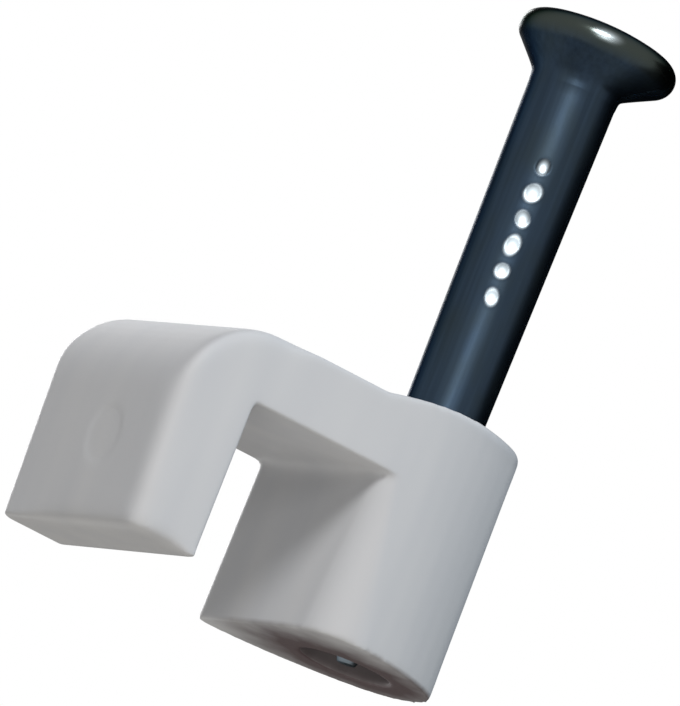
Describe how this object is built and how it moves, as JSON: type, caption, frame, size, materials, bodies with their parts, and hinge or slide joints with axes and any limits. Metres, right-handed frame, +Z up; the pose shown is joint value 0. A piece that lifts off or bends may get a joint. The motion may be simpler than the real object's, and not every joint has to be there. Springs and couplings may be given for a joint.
{
  "type": "nail-in cable clip",
  "caption": "Moulded plastic cable clip with a square channel between a leg and a round-nosed boss, fixed to a wall by a hardened steel nail that is driven through the boss.",
  "frame": {"origin": "on the nail's axis, in the plane of the wall that the boss stands on", "axes": "+Z up the nail towards its head, +X from the leg to the boss, Y along the cable"},
  "size_m": [0.0114, 0.0064, 0.0174],
  "materials": {
    "clip_plastic": "satin moulded plastic",
    "nail_steel": "blackened hardened steel"
  },
  "bodies": {
    "clip": {"clip_body": "clip_plastic"},
    "nail": {"nail": "nail_steel"}
  },
  "joints": [
    {"name": "nail_drive", "type": "slide", "parent": "clip", "child": "nail", "axis": [0, 0, -1], "range_m": [0, 0.0092]}
  ]
}
